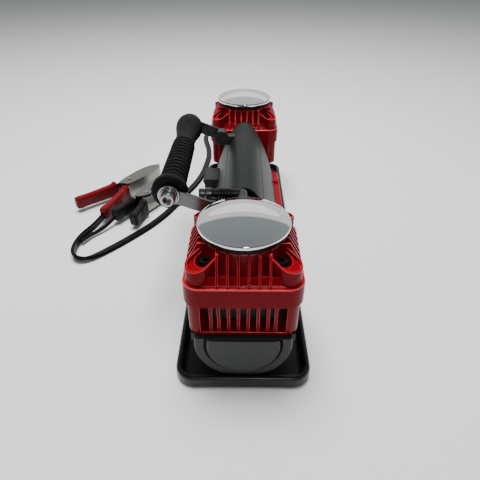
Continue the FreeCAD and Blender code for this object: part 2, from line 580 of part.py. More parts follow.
def outlet_coupler():
    """A steel quick coupler, open to the left."""
    body = rod(4.4, (OUTLET_END, OUTLET_Y, OUTLET_Z), ACROSS * -1, 5.0)
    nose = rod(3.9, (OUTLET_END - 5, OUTLET_Y, OUTLET_Z), ACROSS * -1, 4.5)
    bore = rod(COUPLER_BORE, (OUTLET_END - 1, OUTLET_Y, OUTLET_Z), ACROSS * -1, 12)
    return body.fuse(nose).cut(bore).removeSplitter()


# ---------------------------------------------------------------- switch and gland
def switch_housing():
    half = SWITCH_LENGTH / 2
    block = box(SWITCH_FACE, -20, SWITCH_Y - half, SWITCH_Y + half, CRADLE_TOP + 0.02, SWITCH_TOP)
    block = block.cut(arch(COVER_HALF_X + 0.02, COVER_APEX + 0.02, 0, 70))
    y, z = SWITCH_Y, SWITCH_Z
    well = box(SWITCH_FACE - 1, SWITCH_FACE + 9, y - 10.5, y + 10.5, z - 6.5, z + 6.5)
    pin_holes = rod(1.0, (SWITCH_FACE + 4, SWITCH_Y - 12.5, SWITCH_Z), ALONG, 25)
    return block.cut(group([well, pin_holes]))


def switch_rocker():
    """A rocker on a pin along Y, at rest with its lower half pressed in."""
    y0, y1 = SWITCH_Y - 10.1, SWITCH_Y + 10.1
    x, z = SWITCH_FACE + 4, SWITCH_Z
    outline = [(x - 5.2, y0, z - 5.6), (x - 3.6, y0, z), (x - 5.2, y0, z + 5.6), (x + 2.2, y0, z + 3.0),
               (x + 2.2, y0, z - 3.0)]
    body = prism(outline, V(0, y1 - y0, 0))
    body = body.fuse(rod(0.95, (x, SWITCH_Y - 12.2, z), ALONG, 24.4)).removeSplitter()
    body.rotate(V(x, 0, z), ALONG, -9)
    return body


def cable_gland():
    """A tapered strain relief low on the cradle's rear end, pointing back along the tray."""
    flange = rod(6.5, (GLAND_X, CRADLE_HALF_Y, GLAND_Z), ALONG, 2.5)
    start = CRADLE_HALF_Y + 2.5
    taper = Part.makeCone(5.6, 4.4, GLAND_END - start, V(GLAND_X, start, GLAND_Z), ALONG)
    return flange.fuse(taper).removeSplitter()


# ---------------------------------------------------------------- power cable
FEED_ROUTE = [(GLAND_X, GLAND_END, GLAND_Z), (-30.0, 128.0, 11.5), (-32.5, 145.0, 11.5), (-33.0, 162.0, 17.5),
              (-31.5, 181.0, 17.5), (-23.5, 198.0, 9.5), (-8.0, 208.0, 4.0), (11.0, 210.5, 3.2),
              (25.5, 218.5, 3.2), (34.0, HANK_NEAR, 3.2)]
LEAD_ROUTE = [(-22.5, 400.0, 10.0), (-26.0, 373.0, 9.5), (-37.0, 348.0, 5.5), (-51.0, 326.0, 3.2),
              (-61.0, 302.0, 3.2), (-60.0, 275.0, 3.2), (-53.5, 248.0, 3.2), (-50.0, 219.0, 3.2),
              (-51.5, 190.0, 3.2), (-54.0, 162.0, 3.2), (-59.5, 134.0, 3.2), (-69.0, 108.0, 3.2),
              (-78.0, 81.0, 3.2), (-88.0, 54.0, 3.2), (-102.5, 27.0, 3.2), (-124.0, -2.0, 3.2),
              (-141.0, -22.0, 3.2), (-153.0, -33.0, 3.2), (-163.0, -34.0, 3.2), (-170.0, -26.0, 3.2),
              (-172.0, -12.0, 3.2), (-169.5, 4.0, 3.4), (-160.7, 20.6, 4.0), (-156.0, 36.5, 4.2)]
BLACK_ROUTE = [(-167.7, -5.5, 3.2), (-163.0, 6.0, 3.0), (-154.8, 15.6, 3.2), (-148.2, 24.8, 3.8),
               (-142.9, 33.7, 4.2)]


def tube(route, radius, name):
    """A round tube along straight runs joined by the widest arcs that they leave room for."""
    points = [V(*p) for p in route]
    edges, start, radii = [], points[0], []
    for before, here, after in zip(points, points[1:], points[2:]):
        into, out = (here - before), (after - here)
        shorter = min(into.Length, out.Length)
        turn = into.getAngle(out)
        reach = 0.45 * shorter
        radii.append(reach / math.tan(turn / 2))
        into.normalize()
        out.normalize()
        a, b = here - into * reach, here + out * reach
        bend = (out - into).normalize()
        middle = here + bend * (radii[-1] * (1 / math.cos(turn / 2) - 1))
        edges.append(Part.LineSegment(start, a).toShape())
        edges.append(Part.Arc(a, middle, b).toShape())
        start = b
    edges.append(Part.LineSegment(start, points[-1]).toShape())
    path = Part.Wire(edges)
    heading = (points[1] - points[0]).normalize()
    section = Part.Wire([Part.Circle(points[0], heading, radius).toShape()])
    solid = path.makePipeShell([section], True, True)
    length = sum(e.Length for e in edges)
    print("%s: length %.0f, volume over section times length %.4f" %
          (name, length, solid.Volume / (math.pi * radius ** 2 * length)))
    print("  radii", " ".join("%.0f" % r for r in radii))
    return solid


def cable_hank():
    return rounded_block(HANK_HALF, HANK_LENGTH / 2, 1.5, 0, HANK_HIGH, HANK_NEAR + HANK_LENGTH / 2, HANK_X)


# ---------------------------------------------------------------- battery clamps
# For each clamp: where its pivot stands, the way its jaws point, the side of its fixed half,
# how far its handles spread and how long they are.
CLAMP_Z = 10.8
CLAMPS = {"red": (-140.0, 104.0, 58.0), "black": (-113.0, 70.0, 66.0)}
FIXED_SIDE = {"red": -1, "black": 1}
HANDLE_SPREAD = {"red": 15.0, "black": 10.0}
HANDLE_TIP = {"red": 68.0, "black": 46.0}


def placed(shape, name):
    x, y, angle = CLAMPS[name]
    shape.rotate(V(0, 0, 0), UP, angle)
    shape.translate(V(x, y, CLAMP_Z))
    return shape


def clamp_half(name, side, wide):
    """One pressed-steel half: a domed jaw, ears round the pivot and a handle strip.
    side is +1 or -1, and wide is half its width across the jaw."""
    sheet = 1.4
    outline = [(51, 0.3), (51, 3.0), (46, 7.6), (36, 10.4), (22, 11.4), (6, 10.4), (-8, 8.6), (-12, 6.6),
               (-12, 3.0), (-5.0, -4.5), (0, -6.0), (5.0, -4.5), (8.0, 0.3)]
    pocket = [(48, -9), (48, 3.0), (44, 6.4), (35, 9.0), (22, 10.0), (6, 9.0), (-8, 7.2), (-14, 5.0),
              (-14, -9)]
    solid = prism([(u, side * v, -wide) for u, v in outline], V(0, 0, 2 * wide))
    hollow = prism([(u, side * v, -wide + sheet) for u, v in pocket], V(0, 0, 2 * (wide - sheet)))
    half = solid.cut(hollow)
    strip = box(-HANDLE_TIP[name] + 3, -9, -1.0, 1.0, -6.8, 6.8)
    strip.rotate(V(0, 0, 0), UP, -side * HANDLE_SPREAD[name])
    strip.translate(V(0, side * 4.6, 0))
    half = half.fuse(strip.cut(prism([(u, side * v, -wide) for u, v in
                                      [(60, -20), (60, 30), (-8.5, 30), (-8.5, -20)]], V(0, 0, 2 * wide))))
    hole = rod(2.5 + (0.0 if side == FIXED_SIDE[name] else RUNNING_GAP), (0, 0, -20), UP, 40)
    return placed(half.cut(hole).removeSplitter(), name)


def clamp_sleeve(name, side):
    """The insulating sleeve over a clamp's handle."""
    tip = HANDLE_TIP[name]
    outer = box(-tip, -17, -4.8, 4.8, -10.3, 10.3)
    outer = outer.makeFillet(3.0, [e for e in outer.Edges if e.BoundBox.XLength > 20])
    inner = box(-tip + 3, -10, -1.0, 1.0, -6.8, 6.8)
    sleeve = outer.cut(inner)
    sleeve.rotate(V(0, 0, 0), UP, -side * HANDLE_SPREAD[name])
    sleeve.translate(V(0, side * 4.6, 0))
    return placed(sleeve, name)


def clamp_pin(name):
    pin = rod(2.5, (0, 0, -10.6), UP, 21.2)
    return placed(pin, name)


def clamp_spring(name):
    return placed(ring(5.0, 3.0, (0, 0, -6.0), UP, 12.0), name)


# ---------------------------------------------------------------- every node
nodes = {
    "base_tray": base_tray(),
    "tray_screws": tray_screws(),
    "motor_cradle": motor_cradle(),
    "motor_cover": motor_cover(),
    "cover_end_front": cover_end(has_lug=True),
    "cover_end_rear": mirrored(cover_end()),
    "ledge_screws": cover_screws(),
    "motor_can": motor_can(),
    "motor_magnets": magnets(),
    "motor_end_bells": group([end_bell(), mirrored(end_bell())]),
    "shaft_bearings": bearings(),
    "carbon_brushes": brushes(),
    "crankcase_front": crankcase(),
    "crankcase_rear": mirrored(crankcase()),
    "crankcase_covers": group([crankcase_cover(), mirrored(crankcase_cover())]),
    "cylinder_front": cylinder(),
    "cylinder_rear": mirrored(cylinder()),
    "head_gaskets": group([gasket(), mirrored(gasket())]),
    "valve_plates": group([valve_plate(), mirrored(valve_plate())]),
    "shroud_front": shroud(),
    "shroud_rear": mirrored(shroud()),
    "head_front": head(),
    "head_screws": group([head_screw(a * SCREW_AT, c * HEAD_Y + b * SCREW_AT)
                          for a in (-1, 1) for b in (-1, 1) for c in (-1, 1)]),
    "cap_seals": group([cap_seal(), mirrored(cap_seal())]),
    "chrome_caps": group([chrome_cap(), mirrored(chrome_cap())]),
    "delivery_pipe": delivery_pipe(),
    "outlet_elbow": outlet_elbow(),
    "outlet_coupler": outlet_coupler(),
    "switch_housing": switch_housing(),
    "switch_rocker": switch_rocker(),
    "cable_gland": cable_gland(),
    "handle_lug_rear": rear_lug(),
    "handle_pivot_pins": pivot_pins(),
    "handle_bracket_front": strip_between(BRACKET_FRONT),
    "handle_bracket_rear": strip_between(BRACKET_REAR),
    "handle_tube": handle_rod(),
    "handle_grip": handle_grip(),
    "handle_bolts": handle_bolts(),
    "motor_shaft": motor_shaft(),
    "armature_core": armature_core(),
    "armature_windings": armature_windings(),
    "commutator": commutator(),
    "crank_discs": group([crank_disc(), mirrored(crank_disc())]),
    "piston_front": piston(),
    "piston_rear": mirrored(piston()),
    "power_cable_feed": tube(FEED_ROUTE, TUBE_R, "power_cable_feed"),
    "power_cable_hank": cable_hank(),
    "power_cable_lead": tube(LEAD_ROUTE, TUBE_R, "power_cable_lead"),
    "black_clamp_lead": tube(BLACK_ROUTE, LEAD_R, "black_clamp_lead"),
}
nodes["head_rear"] = mirrored(head(has_outlet=False))
for colour, fixed in FIXED_SIDE.items():
    nodes[colour + "_clamp_base"] = clamp_half(colour, fixed, 10.0)
    nodes[colour + "_clamp_lever"] = clamp_half(colour, -fixed, 8.2)
    nodes[colour + "_sleeve_base"] = clamp_sleeve(colour, fixed)
    nodes[colour + "_sleeve_lever"] = clamp_sleeve(colour, -fixed)
nodes["clamp_pins"] = group([clamp_pin(colour) for colour in CLAMPS])
nodes["clamp_springs"] = group([clamp_spring(colour) for colour in CLAMPS])

os.makedirs("parts", exist_ok=True)
for name, shape in nodes.items():
    if not shape.isValid():
        print("INVALID", name)
    shape.exportStep(os.path.join("parts", name + ".step"))
    print(name, len(shape.Solids), "%.1f cm3" % (shape.Volume / 1000))
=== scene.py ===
import bmesh
import bpy
import json
import math
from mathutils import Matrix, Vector


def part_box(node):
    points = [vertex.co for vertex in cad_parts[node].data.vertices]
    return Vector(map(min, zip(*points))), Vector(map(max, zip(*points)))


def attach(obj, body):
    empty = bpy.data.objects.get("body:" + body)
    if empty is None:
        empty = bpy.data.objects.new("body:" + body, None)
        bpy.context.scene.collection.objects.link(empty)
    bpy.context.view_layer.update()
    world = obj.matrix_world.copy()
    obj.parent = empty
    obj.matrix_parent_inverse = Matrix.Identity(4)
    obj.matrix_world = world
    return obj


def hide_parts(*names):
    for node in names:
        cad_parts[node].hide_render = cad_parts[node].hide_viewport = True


# The looks of a twin-cylinder 12 V air compressor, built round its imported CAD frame.
# Metres. +Y runs from the front head to the rear head, +X is away from the carrying handle.

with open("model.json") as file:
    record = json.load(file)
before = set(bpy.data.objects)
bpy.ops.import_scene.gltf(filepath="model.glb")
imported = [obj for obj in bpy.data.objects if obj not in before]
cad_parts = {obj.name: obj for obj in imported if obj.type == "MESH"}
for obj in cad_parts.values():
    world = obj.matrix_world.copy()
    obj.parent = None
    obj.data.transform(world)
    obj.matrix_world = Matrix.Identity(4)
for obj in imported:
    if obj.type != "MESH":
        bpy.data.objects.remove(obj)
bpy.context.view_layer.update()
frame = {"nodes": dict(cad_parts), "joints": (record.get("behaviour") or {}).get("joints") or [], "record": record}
MM = 0.001


def centre(node):
    low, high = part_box(node)
    return (low + high) / 2


# ---------------------------------------------------------------- materials
def grain(nodes, links, shader, scale, depth, detail=3.0):
    """A fine bump over the whole surface."""
    place = nodes.new("ShaderNodeTexCoord")
    noise = nodes.new("ShaderNodeTexNoise")
    noise.inputs["Scale"].default_value = scale
    noise.inputs["Detail"].default_value = detail
    bump = nodes.new("ShaderNodeBump")
    bump.inputs["Strength"].default_value = 1.0
    bump.inputs["Distance"].default_value = depth
    links.new(place.outputs["Object"], noise.inputs["Vector"])
    links.new(noise.outputs["Fac"], bump.inputs["Height"])
    links.new(bump.outputs["Normal"], shader.inputs["Normal"])


def varied(nodes, links, shader, socket, low, high, scale, stretch=(1, 1, 1)):
    """Lets a socket wander between two values, or two colours, over the surface."""
    place = nodes.new("ShaderNodeTexCoord")
    mapping = nodes.new("ShaderNodeMapping")
    mapping.inputs["Scale"].default_value = stretch
    noise = nodes.new("ShaderNodeTexNoise")
    noise.inputs["Scale"].default_value = scale
    noise.inputs["Detail"].default_value = 4.0
    ramp = nodes.new("ShaderNodeValToRGB")
    ramp.color_ramp.elements[0].position = 0.3
    ramp.color_ramp.elements[1].position = 0.7
    for stop, value in zip(ramp.color_ramp.elements, (low, high)):
        stop.color = (*value, 1) if isinstance(value, tuple) else (value, value, value, 1)
    links.new(place.outputs["Object"], mapping.inputs["Vector"])
    links.new(mapping.outputs["Vector"], noise.inputs["Vector"])
    links.new(noise.outputs["Fac"], ramp.inputs["Fac"])
    links.new(ramp.outputs["Color"], shader.inputs[socket])


def shaded(colour, factor):
    return tuple(min(1.0, c * factor) for c in colour)


def material(name, colour, rough, metal=0.0, coat=0.0, coat_rough=0.04, specular=0.5,
             bump=0.0, bump_scale=900.0, spread=0.12, stretch=(1, 1, 1), mottle=60.0):
    """A shader whose colour and roughness wander a little, with a fine bump."""
    made = bpy.data.materials.new(name)
    made.use_nodes = True
    nodes, links = made.node_tree.nodes, made.node_tree.links
    shader = nodes["Principled BSDF"]
    shader.inputs["Metallic"].default_value = metal
    shader.inputs["Specular IOR Level"].default_value = specular
    shader.inputs["Coat Weight"].default_value = coat
    shader.inputs["Coat Roughness"].default_value = coat_rough
    low, high = 1 - spread, 1 + spread
    varied(nodes, links, shader, "Base Color", shaded(colour, low), shaded(colour, high), mottle, stretch)
    varied(nodes, links, shader, "Roughness", rough * low, min(1.0, rough * high), mottle * 5, stretch)
    if bump:
        grain(nodes, links, shader, bump_scale, bump)
    return made


FINISHES = {
    "red_enamel": dict(colour=(0.155, 0.0003, 0.0045), rough=0.30, coat=0.07, coat_rough=0.06,
                       specular=0.05, spread=0.08, mottle=45),
    "black_gloss": dict(colour=(0.0035, 0.0038, 0.0043), rough=0.34, coat=0.10, coat_rough=0.15,
                        specular=0.30, bump=0.000006, bump_scale=900),
    "cover_black": dict(colour=(0.0060, 0.0078, 0.0076), rough=0.46, specular=0.15, spread=0.03,
                        mottle=25),
    "collar_black": dict(colour=(0.004, 0.004, 0.0045), rough=0.34, specular=0.35, bump=0.00001,
                         bump_scale=2200),
    "case_grey": dict(colour=(0.015, 0.0165, 0.0165), rough=0.44, specular=0.35, bump=0.00002,
                      bump_scale=1500),
    "chrome": dict(colour=(0.80, 0.82, 0.81), rough=0.035, metal=1.0, spread=0.02, mottle=20),
    "rubber_black": dict(colour=(0.0032, 0.0034, 0.004), rough=0.60, specular=0.16, bump=0.00002,
                         bump_scale=3000),
    "zinc_steel": dict(colour=(0.40, 0.41, 0.42), rough=0.32, metal=1.0, spread=0.1, mottle=150,
                       bump=0.00001),
    "bright_steel": dict(colour=(0.34, 0.34, 0.35), rough=0.25, metal=1.0, spread=0.10),
    "bracket_steel": dict(colour=(0.15, 0.155, 0.16), rough=0.36, metal=1.0, spread=0.12, mottle=90,
                          stretch=(1, 1, 6), bump=0.000006, bump_scale=1200),
    "clamp_steel": dict(colour=(0.24, 0.24, 0.225), rough=0.30, metal=1.0, spread=0.12, mottle=25),
    "cast_alloy": dict(colour=(0.55, 0.57, 0.52), rough=0.55, metal=0.2, bump=0.00003, bump_scale=1200),
    "lamination": dict(colour=(0.16, 0.15, 0.14), rough=0.5, metal=1.0, stretch=(0.1, 12, 0.1),
                       mottle=120),
    "ferrite": dict(colour=(0.03, 0.03, 0.033), rough=0.6, bump=0.00004),
    "copper_pipe": dict(colour=(0.72, 0.33, 0.18), rough=0.28, metal=1.0, spread=0.15),
    "cable_black": dict(colour=(0.0035, 0.0045, 0.005), rough=0.44, specular=0.24, bump=0.00001,
                        bump_scale=1800),
    "red_plastic": dict(colour=(0.105, 0.0018, 0.0045), rough=0.46, specular=0.20, bump=0.00002,
                        bump_scale=1100),
    "black_plastic": dict(colour=(0.0045, 0.0045, 0.005), rough=0.46, specular=0.25, bump=0.00002,
                          bump_scale=1100),
}
SLOTS = {name: material(name, **finish) for name, finish in FINISHES.items()}
# The broken edges of the red castings get a lighter red: a painted highlight where they catch the light.
RED_EDGE_HIGHLIGHT = material("red_edge_painted_highlight", (0.52, 0.035, 0.045), 0.24, coat=0.3, coat_rough=0.05, specular=0.4)
SLOT_OF = {s["node"]: s["material_slot"] for s in frame["record"]["subparts"]}
BODY_OF = {n: b for b, ns in frame["record"]["behaviour"]["bodies"].items() for n in ns}
# The head screws are coloured black as painted shade of the deep wells they sit in; the ledge screws are red like
# the ledge, and the handle's pivot pins are black.
FINISH_OR_SHADE_AS = {"head_screws": "collar_black", "handle_pivot_pins": "collar_black",
               "ledge_screws": "red_enamel"}
for node, cad in frame["nodes"].items():
    cad.data.materials.clear()
    cad.data.materials.append(SLOTS[FINISH_OR_SHADE_AS.get(node, SLOT_OF[node])])


# ---------------------------------------------------------------- mesh helpers
def circle(radius, steps=48):
    return [(radius * math.cos(2 * math.pi * i / steps), radius * math.sin(2 * math.pi * i / steps))
            for i in range(steps)]


def rounded_rect(half_x, half_y, corner, steps=8):
    """A rounded rectangle with steps + 1 points round each corner."""
    points = []
    for quarter, (sx, sy) in enumerate(((1, 1), (-1, 1), (-1, -1), (1, -1))):
        for i in range(steps + 1):
            angle = math.pi / 2 * (quarter + i / steps)
            points.append((sx * (half_x - corner) + corner * math.cos(angle),
                           sy * (half_y - corner) + corner * math.sin(angle)))
    return points


def obround(ax, ay, bx, by, radius, steps=14):
    """A slot's outline round the two centres a and b."""
    along = math.atan2(by - ay, bx - ax)
    points = [(bx + radius * math.cos(along - math.pi / 2 + math.pi * i / steps),
               by + radius * math.sin(along - math.pi / 2 + math.pi * i / steps)) for i in range(steps + 1)]
    points += [(ax + radius * math.cos(along + math.pi / 2 + math.pi * i / steps),
                ay + radius * math.sin(along + math.pi / 2 + math.pi * i / steps)) for i in range(steps + 1)]
    return points


def upright(x, y, h):
    return Vector((x, y, h))


def lengthways(x, z, h):
    return Vector((x, h, z))


def loft(mesh, loops, place=upright, caps=(True, True), at=Vector()):
    """Skins a row of (outline, height) loops that have equally many points. Millimetres in."""
    rows = [[mesh.verts.new(at + place(a, b, h) * MM) for a, b in outline] for outline, h in loops]
    faces = []
    for low, high in zip(rows, rows[1:]):
        for i in range(len(low)):
            j = (i + 1) % len(low)
            faces.append(mesh.faces.new((low[i], low[j], high[j], high[i])))
    if caps[0]:
        faces.append(mesh.faces.new(rows[0][::-1]))
    if caps[1]:
        faces.append(mesh.faces.new(rows[-1]))
    return faces


def prism(mesh, outline, low, high, place=upright, at=Vector()):
    return loft(mesh, [(outline, low), (outline, high)], place, at=at)


def block(mesh, x0, x1, y0, y1, z0, z1, at=Vector()):
    return prism(mesh, [(x0, y0), (x1, y0), (x1, y1), (x0, y1)], z0, z1, at=at)


def lathe(mesh, profile, place=upright, steps=64, at=Vector(), caps=(True, True)):
    """Turns a profile of (radius, height) points about an axis through at."""
    return loft(mesh, [(circle(max(r, 0.02), steps), h) for r, h in profile], place, caps, at)


def bevel(mesh, width, least=32.0, segments=2, strip=-1):
    """Rounds every edge that is sharper than least degrees, and gives the new faces material strip."""
    mesh.normal_update()
    edges = [e for e in mesh.edges if len(e.link_faces) == 2 and math.degrees(e.calc_face_angle(0)) > least]
    bmesh.ops.bevel(mesh, geom=edges, offset=width * MM, offset_type="OFFSET", segments=segments,
                    profile=0.5, affect="EDGES", clamp_overlap=True, material=strip)


def piece(name, mesh, slot, body, replaces=(), rounded=0.0, least=32.0, sharp=48.0, segments=2):
    """Finishes a mesh into an object that rides on a body."""
    bmesh.ops.recalc_face_normals(mesh, faces=mesh.faces)
    # Bevelled red castings carry the lighter red of the painted highlight on their edge strips.
    bright = slot == "red_enamel" and rounded > 0
    if rounded:
        bevel(mesh, rounded, least, segments, 1 if bright else -1)
    data = bpy.data.meshes.new(name)
    mesh.to_mesh(data)
    mesh.free()
    for face in data.polygons:
        face.use_smooth = True
    data.set_sharp_from_angle(angle=math.radians(sharp))
    data.materials.append(SLOTS[slot])
    if bright:
        data.materials.append(RED_EDGE_HIGHLIGHT)
    made = bpy.data.objects.new(name, data)
    bpy.context.scene.collection.objects.link(made)
    weighted = made.modifiers.new("weighted", "WEIGHTED_NORMAL")
    weighted.keep_sharp = True
    weighted.weight = 80
    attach(made, body)
    if replaces:
        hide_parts(*replaces)
    return made


def refined(node, width, least=38.0, flatten=1.2, slot=None, name=None):
    """A copy of a CAD node with its flat faces whole again and its edges broken."""
    mesh = bmesh.new()
    mesh.from_mesh(frame["nodes"][node].data)
    bmesh.ops.remove_doubles(mesh, verts=mesh.verts, dist=2e-6)
    bmesh.ops.dissolve_limit(mesh, angle_limit=math.radians(flatten), verts=mesh.verts, edges=mesh.edges)
    return piece(name or node + "_skin", mesh, slot or SLOT_OF[node], BODY_OF[node], (node,), width, least)


# ---------------------------------------------------------------- heads
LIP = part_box("shroud_front")[1].z / MM
ROOM_HALF, ROOM_TOP = 20.3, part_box("valve_plates")[1].z / MM + 0.2
CAP_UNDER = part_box("chrome_caps")[1].z / MM - 10.4
POST_INNER, POST_OUTER, POST_R, POST_TOP, POST_SLOPE = 17.5, 27.6, 8.0, 104.8, 0.36
POST_RIM, POST_FLOOR, WELL_AT, WELL_DEPTH = 1.3, 3.8, 23.4, 14.0
POST_SLOPES_FROM = 24.7
FIN_PITCH, FIN_HALF, FIN_REACH, FIN_TOP = 6.4, 0.75, 36.6, 105.6
WALL_OUT, WALL_IN, CORNER, COVER_CUT = 36.3, 33.3, 10.0, 45.6
WINDOW_LOW, WINDOW_HIGH, WINDOW_HALF = 48.6, 71.2, 27.5
SLATS, SLAT_HALF = (3.1, 9.4, 15.7, 20.7), 1.1


def facing(quarter):
    """Places (reach, height, sideways) points on one of the four sides."""
    c, s = round(math.cos(math.pi / 2 * quarter)), round(math.sin(math.pi / 2 * quarter))
    return lambda reach, z, h: Vector((c * reach - s * h, s * reach + c * h, z))


def post(mesh, sx, sy, at):
    """A corner post with a raised rim and a deep well for its screw, sloping down outwards."""
    ends = (sx * POST_INNER, sy * POST_INNER, sx * POST_OUTER, sy * POST_OUTER)
    outer, inner = obround(*ends, POST_R), obround(*ends, POST_R - POST_RIM)
    well = obround(sx * POST_INNER, sy * POST_INNER, sx * WELL_AT, sy * WELL_AT, POST_R - 1.7)
    before = len(mesh.verts)
    loft(mesh, [(outer, LIP - 1), (outer, POST_TOP), (inner, POST_TOP), (inner, POST_TOP - POST_FLOOR),
                (well, POST_TOP - POST_FLOOR - 0.1), (well, POST_TOP - WELL_DEPTH)], at=at)
    mesh.verts.ensure_lookup_table()
    for vertex in mesh.verts[before:]:
        x, y, z = (vertex.co - at) / MM
        along = max(0.0, (sx * x + sy * y) / math.sqrt(2) - POST_SLOPES_FROM)
        vertex.co.z -= POST_SLOPE * along * max(0.0, (z - LIP) / (POST_TOP - LIP)) * MM
        if z < LIP and max(abs(x), abs(y)) < ROOM_HALF:
            vertex.co.z = ROOM_TOP * MM


def head_casting(name):
    """A finned head with four corner posts, hollow underneath where the cylinder stands."""
    at = Vector((0, centre("head_" + name).y, 0))
    mesh = bmesh.new()
    room = rounded_rect(ROOM_HALF, ROOM_HALF, 2)
    core = ((35.4, 8, LIP - 2), (35.4, 8, LIP + 0.3), (34.6, 8, LIP + 0.9), (33.9, 8, LIP + 2.4),
            (32.7, 10, LIP + 6), (31.6, 20, 87.6), (30.8, 28.6, 89.6), (27.2, 25.2, 102.5), (26.6, 24.6, 104.4))
    loft(mesh, [(room, ROOM_TOP), (room, LIP - 2)] + [(rounded_rect(w, w, r), z) for w, r, z in core], at=at)
    lathe(mesh, [(28.0, ROOM_TOP + 1), (28.0, 104.9), (27.2, 105.9)], at=at)
    fin = [(21, LIP), (FIN_REACH, LIP), (FIN_REACH, LIP + 4.5), (28.8, 104.9), (28.0, FIN_TOP), (21, FIN_TOP)]
    for quarter in range(4):
        for step in (-2.5, -1.5, -0.5, 0.5, 1.5, 2.5):
            middle = step * FIN_PITCH
            prism(mesh, fin, middle - FIN_HALF, middle + FIN_HALF, facing(quarter), at)
    for sx in (-1, 1):
        for sy in (-1, 1):
            post(mesh, sx, sy, at)
    piece("head_casting_" + name, mesh, "red_enamel", "chassis", ("head_" + name,), rounded=0.38)


def ring(mesh, outer, inner, low, high, at):
    """A closed wall between two outlines."""
    loops = [(outer, low), (outer, high), (inner, high), (inner, low), (outer, low)]
    loft(mesh, loops, caps=(False, False), at=at)


def pillar(mesh, sx, sy, at):
    """A rounded corner of the louvred box."""
    first = math.acos((WINDOW_HALF - (WALL_OUT - CORNER)) / CORNER)
    arc = [first + (math.pi / 2 - 2 * first) * i / 10 for i in range(11)]
    mid = WALL_OUT - CORNER
    outline = [(mid + CORNER * math.cos(a), mid + CORNER * math.sin(a)) for a in arc]
    outline += [(WINDOW_HALF, WALL_IN), (31.6, 31.6), (WALL_IN, WINDOW_HALF)]
    outline = [(sx * x, sy * y) for x, y in outline]
    prism(mesh, outline, WINDOW_LOW - 1, WINDOW_HIGH + 0.6, at=at)


def shroud_casting(name, way):
    """The louvred box under a head: a band at the top, slats on three sides and a plain back."""
    at = Vector((0, centre("shroud_" + name).y, 0))
    mesh = bmesh.new()
    band = ((38.0, 11, 71.6), (38.0, 11, LIP - 0.5), (37.5, 10.5, LIP), (36.0, 9, LIP),
            (35.5, 8.5, LIP - 0.6), (35.5, 8.5, 71.6), (38.0, 11, 71.6))
    loft(mesh, [(rounded_rect(w, w, r), z) for w, r, z in band], caps=(False, False), at=at)
    wall = rounded_rect(WALL_OUT, WALL_OUT, CORNER)
    ring(mesh, wall, rounded_rect(29.0, 29.0, 4), 46.0, WINDOW_LOW, at)
    ring(mesh, wall, rounded_rect(WALL_IN, WALL_IN, 7), WINDOW_HIGH, 72.4, at)
    for sx in (-1, 1):
        for sy in (-1, 1):
            pillar(mesh, sx, sy, at)
    floor_plate = rounded_rect(33.6, 33.6, 7), rounded_rect(21.0, 21.0, 3)
    ring(mesh, *floor_plate, WINDOW_LOW - 0.9, WINDOW_LOW - 0.1, at)
    back = sorted((-way * WALL_IN, -way * WALL_OUT))
    wide = WINDOW_HALF + 0.5
    block(mesh, -wide, wide, *back, WINDOW_LOW - 0.5, WINDOW_HIGH + 0.5, at)
    slat = [(WALL_IN + 0.2, WINDOW_LOW - 1), (WALL_OUT - 0.4, WINDOW_LOW - 1),
            (WALL_OUT - 0.4, WINDOW_HIGH + 0.6), (WALL_IN + 0.2, WINDOW_HIGH + 0.6)]
    for quarter in (0, 2, 1 if way > 0 else 3):
        for middle in [s * m for s in (-1, 1) for m in SLATS]:
            prism(mesh, slat, middle - SLAT_HALF, middle + SLAT_HALF, facing(quarter), at)
    piece("shroud_casting_" + name, mesh, "red_enamel", "chassis", ("shroud_" + name,), rounded=0.34)


def chrome_cap(name):
    """A spun dome with a rolled rim."""
    at = Vector((0, centre("head_" + name).y, 0))
    radius, rim, dome = 28.5, CAP_UNDER + 3.8, 6.6
    sphere = (radius ** 2 + dome ** 2) / (2 * dome)
    rolled = ((24.5, 0.2), (28.4, 0), (29.3, 0.35), (29.85, 1.0), (30.0, 1.9), (29.9, 2.8), (29.55, 3.45),
              (29.0, 3.75))
    profile = [(r, CAP_UNDER + h) for r, h in rolled]
    for i in range(31):
        r = radius * (1 - i / 30)
        profile.append((r, rim + dome - sphere + math.sqrt(sphere ** 2 - r ** 2)))
    mesh = bmesh.new()
    lathe(mesh, profile, steps=128, at=at)
    return piece("chrome_cap_" + name, mesh, "chrome", "chassis", sharp=80)


def end_cover(name, way):
    """The crankcase's round end cover with a raised, round-edged centre, cut level under the shroud."""
    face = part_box("crankcase_" + name)[0 if way < 0 else 1].y / MM
    shaft = frame_joint("rotor_spin")["pos_m"][2] / MM
    profile = [(32.5, 0), (32.5, 3.0), (32.2, 3.9), (31.5, 4.5), (30.6, 4.7), (26.6, 4.6), (25.9, 4.2),
               (25.5, 3.2), (25.1, 2.9), (24.7, 3.2), (24.5, 4.6), (24.1, 5.6), (23.3, 6.4), (22.2, 6.8),
               (12, 6.95), (0, 7.0)]
    mesh = bmesh.new()
    lathe(mesh, profile, lambda x, z, h: Vector((x, face + way * h, shaft + z)), steps=128)
    everything = mesh.verts[:] + mesh.edges[:] + mesh.faces[:]
    cut = bmesh.ops.bisect_plane(mesh, geom=everything, dist=1e-7, plane_co=(0, 0, COVER_CUT * MM),
                                 plane_no=(0, 0, 1), clear_outer=True)
    rim = [e for e in cut["geom_cut"] if isinstance(e, bmesh.types.BMEdge)]
    bmesh.ops.edgeloop_fill(mesh, edges=rim)
    return piece("end_cover_" + name, mesh, "case_grey", "chassis", sharp=60)


def frame_joint(name):
    return next(j for j in frame["joints"] if j["name"] == name)


ENDS = (("front", -1), ("rear", 1))
for end, way in ENDS:
    head_casting(end)
    shroud_casting(end, way)
caps = [chrome_cap(end) for end, way in ENDS]
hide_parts("chrome_caps")
covers = [end_cover(end, way) for end, way in ENDS]
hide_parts("crankcase_covers")

# ---------------------------------------------------------------- tray, cradle and motor cover
tray = bmesh.new()
low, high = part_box("base_tray")
TRAY_X, TRAY_Y, TRAY_CORNER = high.x / MM, high.y / MM, 14
